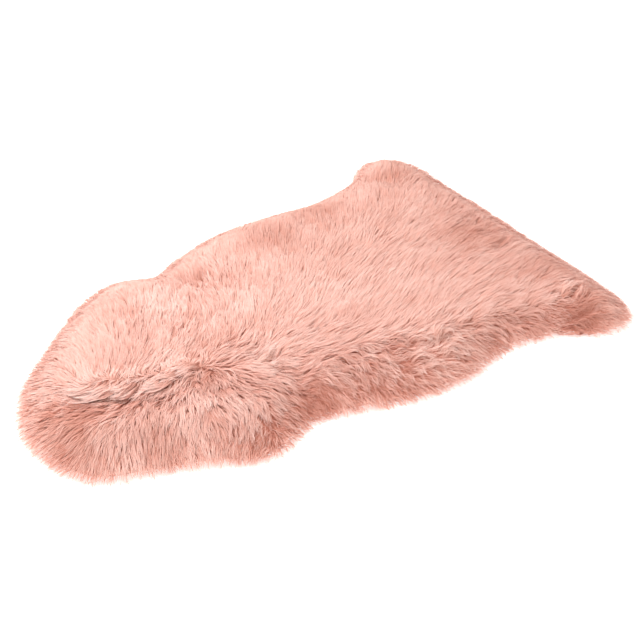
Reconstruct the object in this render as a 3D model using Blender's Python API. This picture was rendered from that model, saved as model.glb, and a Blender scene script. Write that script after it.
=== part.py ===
"""A long-wool sheepskin rug, lying flat: one tanned pelt, skin below and wool above.

Metres, +Z up. +X runs from the neck to the tail, and +Y is the far side. The origin is on
the floor, under the middle of the rug. The skin's flat underside and the locks at the rim
rest on the floor.
"""
import math

import bmesh
import bpy
from mathutils import Vector, noise
from mathutils.geometry import delaunay_2d_cdt

# ---------------------------------------------------------------- driving sizes, in metres
LENGTH = 0.955            # from the wool's tips at the neck to its tips at the tail
WIDTH = 0.630             # across the hind legs, tip to tip
SKIN = 0.002              # thickness of the tanned skin
PILE = 0.053              # top of the wool above the floor, away from the folds
RIM_OUT = 0.008           # how far the slab of wool stands out past the skin's edge
RIM_LOW = 0.004           # underside of the wool at the rim
RIM_TOP = 0.027           # top of the rim, where the locks are rooted
SHOULDER = 0.048          # width of the rounded slope from the rim up to the pile's top
SLOPE_RINGS = (0.009, 0.013)           # steps between rings of points on that slope
CORNER_EASING = 4         # passes that ease the tight corners of each such ring

LOCK_COUNT = 216          # locks round the rim, one beside the other
LOCK_REACH = 0.031        # from a lock's root to its tip
LOCK_VARIATION = 0.50     # the longest and shortest differ from LOCK_REACH by this share
LOCK_SWEEP = 0.34         # how strongly the locks lean towards the tail
LOCK_SWAY = 0.30          # how far neighbouring groups of locks turn to either side
SWAY_STEP = 0.13          # step through the noise from lock to lock: small, so groups turn
REACH_STEP = 0.41         # the same for their length: larger, so neighbours differ
LOCK_TIP_Z = 0.0015       # height of a lock's pointed end
LOCK_EASING = 40          # passes that turn each lock towards the lie of its neighbours
# Sections of a lock between its root and its tip: share of the reach, share of the room
# between its neighbours that it fills, and the height of its upper side above the floor.
LOCK_SECTIONS = (
    # along, fill, top
    (0.40, 0.90, 0.0200),
    (0.76, 0.66, 0.0100),
)

POINT_PITCH = 0.0150      # spacing of the points on the top of the wool
LUMP_RISE = 0.0042        # height of the clumps in the wool
LUMP_LENGTH = 0.070       # size of a clump along the lie of the wool
LUMP_WIDTH = 0.038        # and across it
TUFTS_PER_LUMP = 2.1      # smaller lumps on each clump, half as high

WOOL_COLOUR = (0.83, 0.46, 0.39, 1.0)
WOOL_ROUGHNESS = 0.85

# The skin's cut edge, anticlockwise from the neck: a smooth line runs through these places.
SKIN_EDGE = (
    # place, x, y
    ("neck", -0.446, 0.000),
    ("near neck corner", -0.430, -0.091),
    ("near cheek", -0.360, -0.128),
    ("near shoulder, front", -0.277, -0.160),
    ("near shoulder", -0.200, -0.196),
    ("near waist", -0.111, -0.169),
    ("near flank", -0.035, -0.188),
    ("near belly, front", 0.060, -0.218),
    ("near belly, back", 0.145, -0.225),
    ("near hind hollow", 0.240, -0.208),
    ("near hind leg", 0.340, -0.224),
    ("near hind point", 0.405, -0.265),
    ("near tail corner", 0.448, -0.255),
    ("near rump", 0.450, -0.130),
    ("tail", 0.447, 0.000),
    ("far rump", 0.444, 0.125),
    ("far tail corner", 0.435, 0.243),
    ("far hind point", 0.400, 0.280),
    ("far hind leg", 0.337, 0.246),
    ("far hind hollow", 0.245, 0.227),
    ("far belly, back", 0.150, 0.240),
    ("far belly, front", 0.055, 0.248),
    ("far flank", -0.040, 0.229),
    ("far waist", -0.112, 0.205),
    ("far shoulder", -0.187, 0.228),
    ("far shoulder, front", -0.274, 0.192),
    ("far cheek", -0.353, 0.133),
    ("far neck corner", -0.414, 0.077),
)

# Crests and hollows in the wool: a straight stretch with soft sides and soft ends.
FOLDS = (
    # name, x0, y0, x1, y1, half width, rise
    ("neck crest, tip", -0.425, 0.045, -0.375, 0.006, 0.026, 0.006),
    ("neck crest, middle", -0.350, -0.002, -0.250, -0.022, 0.028, 0.008),
    ("neck crest, shoulder", -0.225, -0.034, -0.085, -0.088, 0.032, 0.007),
    ("neck crease, tip", -0.448, 0.024, -0.392, -0.010, 0.014, -0.006),
    ("neck crease, middle", -0.375, -0.026, -0.305, -0.048, 0.015, -0.006),
    ("neck crease, shoulder", -0.285, -0.052, -0.220, -0.066, 0.016, -0.004),
    ("near neck lobe", -0.385, -0.075, -0.250, -0.120, 0.036, 0.004),
    ("near shoulder lobe", -0.240, -0.150, -0.170, -0.165, 0.030, 0.005),
    ("near waist hollow", -0.122, -0.196, -0.080, -0.118, 0.022, -0.012),
    ("near flank crest", -0.045, -0.145, 0.150, -0.178, 0.034, 0.006),
    ("far waist hollow", -0.118, 0.205, -0.080, 0.140, 0.028, -0.009),
    ("far shoulder crest", -0.245, 0.130, -0.160, 0.155, 0.036, 0.006),
    ("middle saddle", -0.020, 0.090, 0.020, -0.010, 0.030, -0.004),
    ("tail hollow", 0.400, 0.082, 0.408, -0.020, 0.014, -0.007),
    ("tail pit", 0.370, -0.062, 0.400, -0.060, 0.013, -0.007),
    ("near hind wrinkle", 0.330, -0.234, 0.385, -0.236, 0.014, -0.009),
    ("far hind wrinkle", 0.335, 0.232, 0.372, 0.190, 0.018, -0.006),
)


# ---------------------------------------------------------------- lines in plan
def evenly_spaced(line, count):
    """count points at equal steps along a closed line."""
    closed = line + line[:1]
    steps = [(b - a).length for a, b in zip(closed, closed[1:])]
    pitch = sum(steps) / count
    points, index, passed = [], 0, 0.0
    for number in range(count):
        target = number * pitch
        while passed + steps[index] < target:
            passed += steps[index]
            index += 1
        share = (target - passed) / steps[index]
        points.append(closed[index].lerp(closed[index + 1], share))
    return points


def smooth_closed_line(anchors, count, steps_per_span=24):
    """count points of a Catmull-Rom curve through the anchors, evenly spaced."""
    line = []
    size = len(anchors)
    for i in range(size):
        before, start, end, after = (anchors[(i + k) % size] for k in (-1, 0, 1, 2))
        for step in range(steps_per_span):
            t = step / steps_per_span
            line.append(0.5 * (2.0 * start
                               + (end - before) * t
                               + (2.0 * before - 5.0 * start + 4.0 * end - after) * t ** 2
                               + (3.0 * start - 3.0 * end + after - before) * t ** 3))
    return evenly_spaced(line, count)


def outward(line):
    """The outward direction at each point of an anticlockwise closed line."""
    size = len(line)
    directions = []
    for i in range(size):
        along = line[(i + 2) % size] - line[i - 2]
        directions.append(Vector((along.y, -along.x)).normalized())
    return directions


def offset(line, distance):
    """The line moved outward, or inward where distance is negative."""
    return [point + direction * distance for point, direction in zip(line, outward(line))]


def relaxed(line, passes):
    """The line with its tight corners eased: each pass takes points towards their neighbours."""
    for _ in range(passes):
        ahead, behind = line[1:] + line[:1], line[-1:] + line[:-1]
        line = [0.5 * p + 0.25 * (a + b) for p, a, b in zip(line, ahead, behind)]
    return line


def inside(point, line):
    """Whether a point lies inside a closed line."""
    crossings = 0
    for a, b in zip(line, line[1:] + line[:1]):
        if (a.y > point.y) != (b.y > point.y):
            if point.x < a.x + (b.x - a.x) * (point.y - a.y) / (b.y - a.y):
                crossings += 1
    return crossings % 2 == 1


def distance_to_segment(point, a, b):
    along = b - a
    share = max(0.0, min(1.0, (point - a).dot(along) / along.length_squared))
    return (point - a - along * share).length


def distance_to_line(point, line):
    return min(distance_to_segment(point, a, b) for a, b in zip(line, line[1:] + line[:1]))


# ---------------------------------------------------------------- relief of the wool
def folds(point):
    """Sum of the crests and hollows at a point."""
    rise = 0.0
    for _name, x0, y0, x1, y1, half_width, height in FOLDS:
        away = distance_to_segment(point, Vector((x0, y0)), Vector((x1, y1)))
        rise += height * math.exp(-(away / half_width) ** 2)
    return rise


def lumps(point):
    """Clumps, longer along the rug than across it."""
    place = Vector((point.x / LUMP_LENGTH, point.y / LUMP_WIDTH, 0.0))
    return LUMP_RISE * (noise.noise(place) + 0.5 * noise.noise(place * TUFTS_PER_LUMP))


def wool_top(point, from_rim):
    """Height of the wool above the floor, from_rim metres inside the slab's rim."""
    share = min(1.0, from_rim / SHOULDER)
    slope = math.sin(0.5 * math.pi * share)
    return RIM_TOP + slope * (PILE - RIM_TOP + folds(point) + lumps(point))


# ---------------------------------------------------------------- the solid
def ring(bm, line, heights):
    return [bm.verts.new((p.x, p.y, z)) for p, z in zip(line, heights)]


def band(bm, low, high):
    """Faces between two rings of equal count."""
    size = len(low)
    return [bm.faces.new((low[i], low[(i + 1) % size], high[(i + 1) % size], high[i]))
            for i in range(size)]


def grid_points(line, clearance):
    """A triangular grid over the area inside a line, kept clear of the line itself."""
    rows = math.ceil(WIDTH / (POINT_PITCH * math.sqrt(0.75)))
    columns = math.ceil(LENGTH / POINT_PITCH)
    points = []
    for row in range(-rows // 2, rows // 2 + 1):
        for column in range(-columns // 2, columns // 2 + 1):
            shift = 0.5 * (row % 2)
            point = Vector(((column + shift) * POINT_PITCH, row * POINT_PITCH * math.sqrt(0.75)))
            if inside(point, line) and distance_to_line(point, line) > clearance:
                points.append(point)
    return points


def close_top(bm, edge, line, rim_line):
    """Triangles over the area inside a ring, with their corners on the wool's top."""
    count = len(line)
    extra = grid_points(line, 0.6 * POINT_PITCH)
    corners, _edges, faces, origins, _e, _f = delaunay_2d_cdt(
        line + extra, [], [list(range(count))], 1, 1e-6)
    verts = []
    for corner, origin in zip(corners, origins):
        if origin and origin[0] < count:
            verts.append(edge[origin[0]])
        else:
            height = wool_top(corner, distance_to_line(corner, rim_line))
            verts.append(bm.verts.new((corner.x, corner.y, height)))
    for face in faces:
        bm.faces.new([verts[i] for i in face])


def lock_spine(root, direction, number):
    """The middle of a lock in plan, from its root over its sections to its tip."""
    sway = LOCK_SWAY * noise.noise(Vector((number * SWAY_STEP, 1.0, 0.0)))
    lean = Vector((direction.x + LOCK_SWEEP, direction.y)).normalized()
    lean = Vector((lean.x * math.cos(sway) - lean.y * math.sin(sway),
                   lean.x * math.sin(sway) + lean.y * math.cos(sway)))
    unevenness = noise.noise(Vector((number * REACH_STEP, 2.0, 0.0)))
    reach = LOCK_REACH * (1.0 + LOCK_VARIATION * unevenness)
    shares = [0.0] + [along for along, _fill, _top in LOCK_SECTIONS] + [1.0]
    return [root + lean * reach * share for share in shares]


def grow_lock(bm, face, spine, behind, ahead):
    """Draw one face of the rim out along its spine, between the spines on either side."""
    middle_z = 0.5 * (RIM_LOW + RIM_TOP)
    upper = [vert.co.z > middle_z for vert in face.verts]
    forward = [(vert.co.xy - spine[0]).dot(ahead[0] - spine[0]) > 0.0 for vert in face.verts]
    for level, (_along, fill, top) in enumerate(LOCK_SECTIONS, start=1):
        face = bmesh.ops.extrude_discrete_faces(bm, faces=[face])["faces"][0]
        sides = [spine[level].lerp(neighbour[level], 0.5 * fill) for neighbour in (behind, ahead)]
        for vert, is_upper, is_forward in zip(face.verts, upper, forward):
            place = sides[1] if is_forward else sides[0]
            vert.co = (place.x, place.y, top if is_upper else 0.0)
    face = bmesh.ops.extrude_discrete_faces(bm, faces=[face])["faces"][0]
    tip = (spine[-1].x, spine[-1].y, LOCK_TIP_Z)
    bmesh.ops.pointmerge(bm, verts=face.verts[:], merge_co=tip)


def pelt_mesh():
    anchors = [Vector((x, y)) for _place, x, y in SKIN_EDGE]
    skin_line = smooth_closed_line(anchors, LOCK_COUNT)
    rim_line = offset(skin_line, RIM_OUT)
    bm = bmesh.new()
    skin_low = ring(bm, skin_line, [0.0] * LOCK_COUNT)
    skin_high = ring(bm, skin_line, [SKIN] * LOCK_COUNT)
    rim_low = ring(bm, rim_line, [RIM_LOW] * LOCK_COUNT)
    rim_high = ring(bm, rim_line, [RIM_TOP] * LOCK_COUNT)
    bm.faces.new(reversed(skin_low))
    band(bm, skin_low, skin_high)
    band(bm, skin_high, rim_low)
    roots = band(bm, rim_low, rim_high)
    last, last_line = rim_high, rim_line
    for inward in SLOPE_RINGS:
        last_line = relaxed(offset(last_line, -inward), CORNER_EASING)
        heights = [wool_top(point, distance_to_line(point, rim_line)) for point in last_line]
        next_ring = ring(bm, last_line, heights)
        band(bm, last, next_ring)
        last = next_ring
    close_top(bm, last, last_line, rim_line)
    directions = relaxed(outward(rim_line), LOCK_EASING)
    spines = []
    for number, direction in enumerate(directions):
        root = 0.5 * (rim_line[number] + rim_line[(number + 1) % LOCK_COUNT])
        spines.append(lock_spine(root, direction, number))
    for number, face in enumerate(roots):
        ahead = spines[(number + 1) % LOCK_COUNT]
        grow_lock(bm, face, spines[number], spines[number - 1], ahead)
    bmesh.ops.recalc_face_normals(bm, faces=bm.faces[:])
    settle(bm)
    mesh = bpy.data.meshes.new("pelt")
    bm.to_mesh(mesh)
    bm.free()
    mesh.shade_smooth()
    return mesh


def settle(bm):
    """Bring the finished solid to its length and width, with its middle over the origin."""
    for axis, size in ((0, LENGTH), (1, WIDTH)):
        low = min(vert.co[axis] for vert in bm.verts)
        high = max(vert.co[axis] for vert in bm.verts)
        for vert in bm.verts:
            vert.co[axis] = (vert.co[axis] - 0.5 * (low + high)) * size / (high - low)


def wool_material():
    material = bpy.data.materials.new("wool")
    material.use_nodes = True
    shader = material.node_tree.nodes["Principled BSDF"]
    shader.inputs["Base Color"].default_value = WOOL_COLOUR
    shader.inputs["Roughness"].default_value = WOOL_ROUGHNESS
    shader.inputs["Metallic"].default_value = 0.0
    return material


def main():
    for old in list(bpy.data.objects):
        bpy.data.objects.remove(old, do_unlink=True)
    pelt = bpy.data.objects.new("pelt", pelt_mesh())
    pelt.data.materials.append(wool_material())
    bpy.context.collection.objects.link(pelt)


main()
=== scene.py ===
"""Looks of a long-wool sheepskin rug: its wool, lock by lock, its skin, and a plain studio.

All lengths are in metres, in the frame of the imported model: +X from the neck to the tail,
+Y to the far side, +Z up, with the floor at z = 0.
"""
import math
from collections import namedtuple

import bpy
import numpy as np
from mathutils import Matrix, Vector
from mathutils.bvhtree import BVHTree
from mathutils.geometry import delaunay_2d_cdt
from mathutils.kdtree import KDTree

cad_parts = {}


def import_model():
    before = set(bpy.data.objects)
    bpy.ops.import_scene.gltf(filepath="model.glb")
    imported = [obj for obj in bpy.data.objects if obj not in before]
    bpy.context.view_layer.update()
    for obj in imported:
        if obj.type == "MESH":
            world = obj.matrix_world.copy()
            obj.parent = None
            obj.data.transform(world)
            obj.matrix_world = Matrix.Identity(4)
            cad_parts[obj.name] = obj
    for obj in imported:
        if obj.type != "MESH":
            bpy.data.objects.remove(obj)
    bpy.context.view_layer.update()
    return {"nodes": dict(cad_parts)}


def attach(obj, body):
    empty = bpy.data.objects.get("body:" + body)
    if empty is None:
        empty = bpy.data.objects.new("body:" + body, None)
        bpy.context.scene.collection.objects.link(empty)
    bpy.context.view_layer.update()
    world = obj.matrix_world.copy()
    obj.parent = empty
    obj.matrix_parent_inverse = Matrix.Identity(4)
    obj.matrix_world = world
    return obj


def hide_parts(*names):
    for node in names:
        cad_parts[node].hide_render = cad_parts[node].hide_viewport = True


# -------- sizes
SEED = 7

SKIN_TOP = 0.002          # upper side of the tanned skin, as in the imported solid
RIM_TOP = 0.027           # top of the solid's rim, where its locks are rooted
WOOL_REACH = 0.035        # from the rim to where the wool's surface meets the floor
SKIRT_POWER = 0.8         # under 1, so it falls more and more steeply
ROOTS_PAST_RIM = 0.021    # how far past the rim the wool still springs
FLOOR_GAP = 0.0006        # lowest height of a strand's line
LOWEST_CORNER = 0.0002    # and of its corners
THIN_WOOL = 0.012         # where the wool is lower, its locks are flatter too
GRID_PITCH = 0.0025       # spacing of the grid that holds heights and directions
GRID_HALF = (0.52, 0.36)  # half its length and width

# The wool's surface and its lie. A blur is the spread of a Gaussian.
TOP_BLUR = 0.004
STEEPEST = 2.4            # the most that a slope stretches heights in the wool
LIE_BLUR = 0.005
UNREST_BLUR = 0.010       # the wool parts where its lie differs over such a stretch
OUTWARD_BAND = 0.025      # so far inside the rim the lie starts to turn outward
OUTWARD_BLUR = 0.006
OUTWARD_SHARE = 0.5       # weight of the outward direction at the rim itself
OUTWARD_MOST = 1.6        # the most that it gains past the rim, as a factor
COMBING_REACH = 0.011     # within this of a place in the table its heading is followed
RELIEF_SIZE = 0.022       # forms up to about this size give the wool painted shade and light
RELIEF_FULL = 0.005       # a hollow so deep has the full painted shade
RELIEF_BAND = 0.020       # nearer to the rim the relief counts for less
HOLLOW_PAINTED_SHADE = 0.28        # painted shade: how much deeper the colour is in the hollows, and up to half as much paler on ridges

# The wool on the pelt: locks of wisps, and wisps of strands, each strand a tapered ribbon.
LOCK_PITCH = 0.0125       # from lock to lock
WISP_PITCH = 0.0040
JITTER = 0.45             # how far they stray from an even grid, as a share of it
WISP_GATHER = 0.66        # how far a wisp's strands close up at its tip
STRANDS_PER_WISP = 3
STRAND_SPREAD = 0.0034    # radius of a wisp at its root
STRAND_STRAY = 0.0009     # spread of the strands' tips about their wisp
STRAND_WIDTH = 0.00086
STRAND_ARCH = 0.0007      # how high the outer part of a strand bows
BURIED_RISE = 0.004       # height between wisps that counts as a whole layer of painted shade
FLOOR_LAYER = 0.0015      # depth of the strands that lie on the floor
BEHIND = 0.28             # share of a strand before its place, under other wool
AT_PLACE = 0.05           # a station this little short of the place counts as there
SOFTNESS = 0.55           # share of the wool's own surface in a strand's shading
LOCK_VARIES = (0.10, 0.7, 1.25)    # spread, least and most of their lengths, as factors
WISP_VARIES = (0.12, 0.6, 1.3)
SWING_VARIES = (0.4, 0.2, 2.2)
DRIFT = (0.035, 0.8)      # size of the patches where locks turn alike, and how much
SWELL = (0.022, 0.0007)   # size and height of the wool's soft unevenness
PATCHES = (0.060, 0.05)   # size and tone of its faint patches

# Where the wool parts or whorls: locks turn further, and are shorter, shallower and paler; the paler
# colour is painted light that offsets the shade in the gaps there.
PARTED_TURN = 15.0
PARTED_SHORTER = 0.35
PARTED_SHALLOWER = 0.5
PARTED_PAINTED_LIGHT = 0.4

# Each of these is given for sleek wool and for ruffled wool. Angles are in degrees.
LOCK_LENGTH = (0.050, 0.032)
LOCK_TURN = (3.0, 14.0)
LOCK_BEND = (5.0, 16.0)
LOCK_RISE = (0.0004, 0.0018)     # spread of the locks' heights
LOCK_DIP = (0.0006, 0.0019)      # how far a lock's sides lie below its middle
LOCK_GATHER = (0.22, 0.30)       # how far a lock's wisps close up at its tip
WISP_TURN = (3.0, 12.0)
WISP_BEND = (4.0, 16.0)
WISP_RISE = (0.0004, 0.0015)
SWING = (0.0002, 0.0021)         # half the width of a wisp's waves
WAVE_LENGTH = (0.042, 0.021)
ROOT_DEPTH = (0.009, 0.014)      # how far below the wool's surface a strand starts
LAYERS = (0.0013, 0.0024)        # depth of the strands that lie one over another
ROLL = (10.0, 28.0)              # spread of the strands' turn about their own line
TONE_SPREAD = (0.02, 0.19)
BURIED_PAINTED_SHADE = (0.10, 0.28)       # painted shade: how much deeper a strand's colour is one layer down

# The large locks that fall over from the crest, and the single strays at the rim.
FALLING_PITCH = 0.0009    # from wisp to wisp across such a lock
FALLING_STRANDS = 7       # in each of its wisps
FALLING_SWAY = 0.006      # spread of its wisps' tips to the sides
FALLING_WAVE = 0.0011     # half the width of their waves
FALLING_LOOSE = (0.0012, 0.0006)    # spread of a wisp's strands, and more of their tips
FALLING_LAYER = 0.0012    # depth of the strands that lie one over another
# The falling locks' pale tone is partly painted light, as they lie on the crest's near side, away from
# the key light.
FALLING_TONE_AND_LIGHT = 0.92
FALLING_PROFILE = ((0.0, -1.6), (0.25, 0.3), (0.7, 1.0), (1.0, 0.8))    # along it, rise
STRAYS = 4000
STRAY_BAND = (-0.031, 0.006)    # where their roots are, inward from the rim
STRAY_LENGTH = (0.012, 0.034)   # the least and the most
STRAY_LIFT = 0.0035             # how far their tips may stand above the wool
STRAY_PAST = 0.003              # how far they reach past the wool's own end
STRAY_LAYER = 0.002             # depth of those that lie on the floor
STRAY_TONE = 0.60

# The underwool and the skin.
UNDERWOOL_DEPTH = 0.010         # how far it lies below the wool's surface
UNDERWOOL_PAST_RIM = 0.010
UNDERWOOL_THINNEST = 0.0006
RIM_BLUR = 0.008                # evens out which way is outward at the rim
UNDERWOOL_GAP = 0.0004          # from the skin to its underside
UNDERWOOL_PITCH = 0.009         # from point to point over its top
SKIN_PITCH = 0.020

# Where the wool is ruffled: short, curled and tangled. Elsewhere it is long and sleek.
SLEEKEST = 0.05
RUFFLED = (
    # place, x, y, radius, amount
    ("neck crease", -0.400, 0.000, 0.030, 0.7),
    ("neck crease, middle", -0.340, -0.045, 0.035, 0.7),
    ("neck crease, shoulder", -0.270, -0.055, 0.040, 0.5),
    ("crown", -0.200, -0.078, 0.045, 0.3),
    ("near lobe, front", -0.390, -0.075, 0.050, 0.15),
    ("near lobe", -0.310, -0.115, 0.055, 0.15),
    ("near lobe, back", -0.235, -0.140, 0.055, 0.25),
    ("lobe corner", -0.190, -0.205, 0.045, 0.9),
    ("shoulder, far", -0.190, 0.090, 0.080, 0.4),
    ("far waist", -0.070, 0.125, 0.050, 0.6),
    ("shoulder", -0.170, 0.030, 0.060, 0.3),
    ("shoulder, near", -0.125, -0.050, 0.050, 0.4),
    ("near waist", -0.110, -0.170, 0.045, 0.8),
    ("near flank, front", -0.030, -0.200, 0.045, 0.8),
    ("near flank", 0.050, -0.205, 0.050, 0.9),
    ("near belly", 0.130, -0.225, 0.050, 0.9),
    ("near hind", 0.230, -0.230, 0.045, 0.6),
    ("near hind leg", 0.350, -0.250, 0.045, 0.8),
    ("tail", 0.400, 0.010, 0.045, 0.3),
)

# Where the wool is paler, or deeper in colour where the amount is negative: partly the wool's own tone,
# and partly painted light and shade, with painted highlights on the crest and a pale patch, and painted
# shade under the crest, on the lobe below it, in the near waist, in the hind wrinkles and on the near
# side's slopes.
TONES_AND_PAINTED_LIGHT = (
    # place, x, y, radius, amount
    ("far cheek, back", -0.285, 0.087, 0.030, 0.15),
    ("far shoulder", -0.230, 0.120, 0.050, -0.20),
    # painted highlights: the pale patch, and the crest, whose locks lie on its shaded near side
    ("pale patch", -0.180, 0.108, 0.030, 1.30),
    ("crest, neck end", -0.368, -0.008, 0.024, 1.00),
    ("crest, front", -0.325, -0.024, 0.018, 0.70),
    ("crest", -0.282, -0.040, 0.016, 0.65),
    ("crest, back", -0.245, -0.055, 0.020, 0.30),
    # painted shade under the crest's locks
    ("neck, near tip", -0.424, -0.004, 0.018, -0.75),
    ("under the crest, front", -0.390, -0.036, 0.022, -1.30),
    ("under the crest", -0.325, -0.056, 0.018, -0.20),
    ("lobe, front", -0.415, -0.066, 0.040, -0.60),
    ("lobe, front rim", -0.430, -0.110, 0.030, -0.15),
    ("lobe rim, front", -0.385, -0.145, 0.030, 0.25),
    ("lobe", -0.330, -0.118, 0.036, -0.45),
    ("lobe, back", -0.241, -0.155, 0.035, -0.20),
    ("lobe, back rim", -0.240, -0.205, 0.026, -0.20),
    ("lobe corner", -0.190, -0.215, 0.030, -0.35),
    ("crown", -0.206, -0.064, 0.032, -0.45),
    ("shoulder ridge", -0.125, -0.085, 0.035, 0.40),
    # painted shade in the hollow of the near waist
    ("near waist", -0.101, -0.190, 0.028, -1.40),
    ("shoulder, pale", -0.070, 0.042, 0.030, 0.40),
    ("back", 0.010, 0.007, 0.060, 0.20),
    ("far flank", 0.060, 0.150, 0.055, -0.35),
    ("far hind, front", 0.180, 0.185, 0.060, -0.35),
    ("middle", 0.101, -0.027, 0.060, 0.20),
    ("flank, high", -0.010, -0.188, 0.030, -0.45),
    ("flank, back", 0.060, -0.190, 0.025, -0.30),
    ("flank rim, front", -0.030, -0.234, 0.030, -0.25),
    ("belly rim", 0.125, -0.254, 0.030, -0.35),
    ("flank, rim", 0.040, -0.250, 0.035, -0.45),
    ("belly", 0.110, -0.222, 0.036, 0.65),
    ("rump", 0.345, -0.010, 0.070, -0.35),
    ("rump, near", 0.328, -0.115, 0.045, -0.15),
    ("belly, back", 0.212, -0.246, 0.030, -0.50),
    ("hind hollow", 0.300, -0.235, 0.030, -0.30),
    ("near tail", 0.391, -0.180, 0.050, -0.35),
    ("far hind leg", 0.350, 0.205, 0.070, -0.25),
    ("near tail corner", 0.412, -0.285, 0.030, -0.15),
    # painted shade in the hind wrinkles
    ("hind wrinkles", 0.360, -0.266, 0.022, -2.00),
)

# Narrow troughs in the wool, and low ridges where the rise is positive, both finer than
# the solid's folds: straight from point to point, with soft sides.
CREASES = (
    # place, half width, rise, then x and y of each point
    ("neck, rim", 0.006, -0.003, (-0.440, 0.066), (-0.419, 0.031)),
    ("neck, tip", 0.005, -0.005, (-0.419, 0.031), (-0.394, 0.004)),
    ("neck, front", 0.005, -0.007, (-0.394, 0.004), (-0.368, -0.026)),
    ("neck", 0.005, -0.008, (-0.368, -0.026), (-0.332, -0.044), (-0.300, -0.037)),
    ("neck, back", 0.005, -0.004, (-0.300, -0.037), (-0.236, -0.050)),
    ("crest of the neck", 0.018, -0.005, (-0.372, 0.003), (-0.250, -0.020)),
    ("hollow of the neck, front", 0.014, 0.003, (-0.411, 0.018), (-0.372, -0.030)),
    ("hollow of the neck", 0.017, 0.006, (-0.372, -0.030), (-0.300, -0.043)),
    ("hollow of the neck, back", 0.013, 0.003, (-0.300, -0.043), (-0.240, -0.054)),
    ("lobe corner", 0.004, -0.005, (-0.188, -0.191), (-0.172, -0.205)),
    ("lobe corner, low", 0.004, -0.004, (-0.189, -0.203), (-0.177, -0.221)),
    ("waist notch", 0.007, -0.006, (-0.104, -0.200), (-0.094, -0.150)),
    ("far waist", 0.0035, -0.005, (-0.094, 0.187), (-0.103, 0.155)),
    ("far waist, back", 0.0035, -0.004, (-0.066, 0.166), (-0.074, 0.143)),
    ("shoulder ridge", 0.006, -0.009, (-0.114, -0.100), (-0.097, -0.091)),
    ("shoulder ridge, far", 0.006, -0.008, (-0.125, -0.069), (-0.102, -0.056)),
    ("shoulder ridge, near", 0.005, -0.007, (-0.116, -0.105), (-0.106, -0.121)),
    ("flank crest", 0.004, -0.004, (-0.011, -0.064), (0.006, -0.059)),
    ("flank, high", 0.004, -0.005, (-0.014, -0.154), (-0.004, -0.173)),
    ("flank, low", 0.004, -0.004, (0.010, -0.221), (0.034, -0.234)),
    ("flank rim", 0.004, -0.004, (0.008, -0.236), (0.025, -0.241)),
    ("belly rim", 0.004, -0.004, (0.039, -0.244), (0.055, -0.250)),
    ("belly wedge", 0.005, -0.006, (0.175, -0.203), (0.205, -0.206)),
    ("hind wrinkle, long", 0.005, -0.005, (0.245, -0.213), (0.323, -0.241)),
    ("hind wrinkle, front", 0.005, -0.009, (0.323, -0.241), (0.333, -0.258)),
    ("hind wrinkle", 0.006, -0.008, (0.333, -0.258), (0.356, -0.265), (0.390, -0.272)),
    ("hind wrinkle, low", 0.005, -0.006, (0.352, -0.278), (0.384, -0.293)),
    ("above the wrinkles", 0.018, 0.007, (0.328, -0.230), (0.366, -0.233)),
    ("second crest", 0.009, 0.003, (-0.044, -0.157), (0.008, -0.160), (0.046, -0.162), (0.097, -0.190)),
    ("second crest, back", 0.009, 0.002, (0.097, -0.190), (0.155, -0.200)),
    ("below it", 0.006, -0.006, (-0.044, -0.171), (0.008, -0.174), (0.050, -0.176)),
    ("below it, middle", 0.006, -0.005, (0.050, -0.176), (0.097, -0.204)),
    ("below it, back", 0.006, -0.004, (0.097, -0.204), (0.160, -0.214)),
    ("tail tuft", 0.005, -0.005, (0.367, -0.063), (0.400, -0.058)),
    ("tail valley", 0.006, -0.003, (0.401, 0.083), (0.403, 0.020), (0.418, -0.014)),
)

# Where the wool reaches further past the rim, or less far.
REACHES = (
    # place, x, y, radius, amount
    ("neck", -0.472, -0.005, 0.070, 0.010),
    ("neck, far", -0.440, 0.085, 0.045, 0.003),
    ("neck corner", -0.455, -0.095, 0.045, 0.004),
    ("near cheek", -0.365, -0.160, 0.050, -0.003),
    ("lobe, back", -0.215, -0.235, 0.060, 0.004),
    ("flank", -0.030, -0.235, 0.060, 0.003),
    ("belly", 0.080, -0.258, 0.070, 0.003),
    ("near hind leg", 0.365, -0.300, 0.040, -0.002),
    ("near tail corner", 0.450, -0.300, 0.035, 0.004),
    ("tail, near", 0.475, -0.150, 0.080, 0.004),
    ("tail", 0.465, 0.050, 0.090, 0.006),
    ("far tail corner", 0.450, 0.260, 0.060, 0.012),
    ("far hind leg", 0.328, 0.282, 0.045, -0.013),
    ("far flank", 0.150, 0.240, 0.080, 0.002),
    ("far waist", -0.080, 0.200, 0.050, -0.003),
    ("far cheek, back", -0.200, 0.230, 0.050, 0.004),
    ("far cheek", -0.300, 0.185, 0.050, -0.006),
)

# Large locks that fall over from the crest of the neck, from root to tip. Each bends
# towards its second point.
FALLING = (
    # place, x0, y0, x1, y1, x2, y2, width, rise
    ("crest, neck end", -0.321, 0.008, -0.359, -0.042, -0.398, 0.002, 0.034, 0.0035),
    ("crest, neck end, upper", -0.340, 0.014, -0.372, -0.016, -0.405, 0.014, 0.016, 0.0030),
    ("crest, front", -0.302, -0.018, -0.330, -0.046, -0.350, -0.026, 0.024, 0.0035),
    ("crest", -0.259, -0.038, -0.282, -0.065, -0.306, -0.040, 0.022, 0.0035),
    ("crest, back", -0.239, -0.044, -0.258, -0.047, -0.284, -0.036, 0.013, 0.0035),
    ("crown", -0.204, -0.050, -0.228, -0.049, -0.254, -0.045, 0.013, 0.0030),
)

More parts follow.
